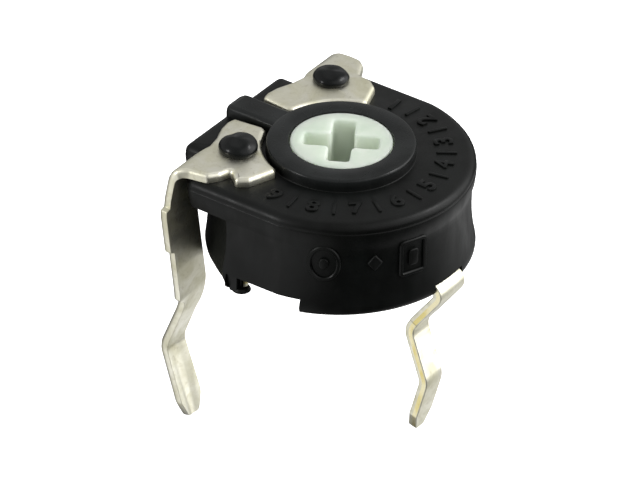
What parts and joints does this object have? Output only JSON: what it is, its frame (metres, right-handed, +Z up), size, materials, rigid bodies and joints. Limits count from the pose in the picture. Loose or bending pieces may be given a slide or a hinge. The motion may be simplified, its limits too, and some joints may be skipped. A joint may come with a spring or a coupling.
{
  "type": "trimmer potentiometer",
  "caption": "Single-turn carbon trimmer potentiometer, lying type, with a cross-slotted rotor that turns between stops and kinked solder legs.",
  "frame": {"origin": "on the rotor's axis, level with the lower edge of the housing's skirt", "axes": "+Z up out of the rotor's face, +Y towards the pair of end terminals, so the wiper leg is on the -Y side"},
  "size_m": [0.0114, 0.0106, 0.0118],
  "materials": {
    "housing_black": "moulded, satin, near-black with a faint green-grey cast",
    "laminate": "paper laminate, brown",
    "carbon": "printed carbon film, dull black",
    "silver_print": "printed silver film, dull",
    "rotor_white": "moulded, smooth, white with a faint green tint",
    "spring_brass": "thin rolled spring strip",
    "tinned_brass": "dull tin plate, bare brass on the cut edges"
  },
  "bodies": {
    "root": {"housing": "housing_black", "element_board": "laminate", "carbon_track": "carbon", "end_pads": "silver_print", "end_terminal_left": "tinned_brass", "end_terminal_right": "tinned_brass", "collector_terminal": "tinned_brass"},
    "rotor": {"rotor": "rotor_white", "wiper": "spring_brass"}
  },
  "joints": [
    {"name": "rotor_turn", "type": "hinge", "parent": "root", "child": "rotor", "pos_m": [0, 0, 0], "axis": [0, 0, 1], "range_deg": [-146.5, 88.5]}
  ]
}
